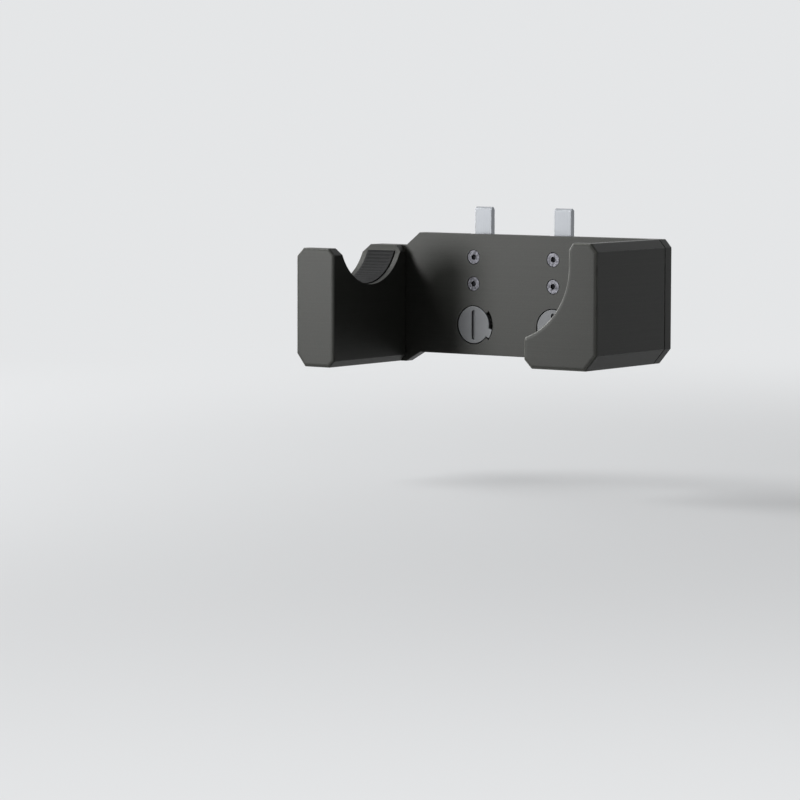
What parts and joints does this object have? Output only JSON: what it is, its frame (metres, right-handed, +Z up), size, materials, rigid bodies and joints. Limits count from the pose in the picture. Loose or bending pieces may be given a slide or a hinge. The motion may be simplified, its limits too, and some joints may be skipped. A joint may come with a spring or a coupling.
{
  "type": "pegboard drill holder",
  "caption": "Wall plate that hooks and locks into a perforated board, with a notched cradle for a drill's nose and a scooped pocket for its tail.",
  "frame": {"origin": "on the plate's back face, where it lies on the board, in the middle of the 38 mm square of four board holes that the hooks and locks use", "axes": "+X to the right along the board seen from the front, +Y out of the plate's back into the board, +Z up"},
  "size_m": [0.1416, 0.0615, 0.0632],
  "materials": {
    "charcoal_plastic": "fine matte grain",
    "black_rubber": "matte",
    "zinc_plated_steel": "zinc plated",
    "blackened_steel": "black oxide",
    "cast_zinc": "die cast, tumbled",
    "spring_steel": "rolled",
    "brass": "turned"
  },
  "bodies": {
    "holder": {"wall_plate": "charcoal_plastic", "nose_cradle": "charcoal_plastic", "tail_cradle": "charcoal_plastic", "nose_liner": "black_rubber", "tail_liner": "black_rubber", "hook_left": "zinc_plated_steel", "hook_right": "zinc_plated_steel", "hook_screw_1": "blackened_steel", "hook_screw_2": "blackened_steel", "hook_screw_3": "blackened_steel", "hook_screw_4": "blackened_steel", "cradle_screw_1": "blackened_steel", "cradle_screw_2": "blackened_steel", "cradle_screw_3": "blackened_steel", "cradle_screw_4": "blackened_steel", "cradle_insert_1": "brass", "cradle_insert_2": "brass", "cradle_insert_3": "brass", "cradle_insert_4": "brass", "lock_washer_left": "spring_steel", "lock_washer_right": "spring_steel"},
    "lock_left": {"lock_cam_left": "cast_zinc", "lock_dog_left": "cast_zinc", "lock_screw_left": "blackened_steel"},
    "lock_right": {"lock_cam_right": "cast_zinc", "lock_dog_right": "cast_zinc", "lock_screw_right": "blackened_steel"}
  },
  "joints": [
    {"name": "lock_left_turn", "type": "hinge", "parent": "holder", "child": "lock_left", "pos_m": [-0.019, 0, -0.019], "axis": [0, -1, 0], "range_deg": [0, 45]},
    {"name": "lock_right_turn", "type": "hinge", "parent": "holder", "child": "lock_right", "pos_m": [0.019, 0, -0.019], "axis": [0, -1, 0], "range_deg": [0, 45]}
  ]
}
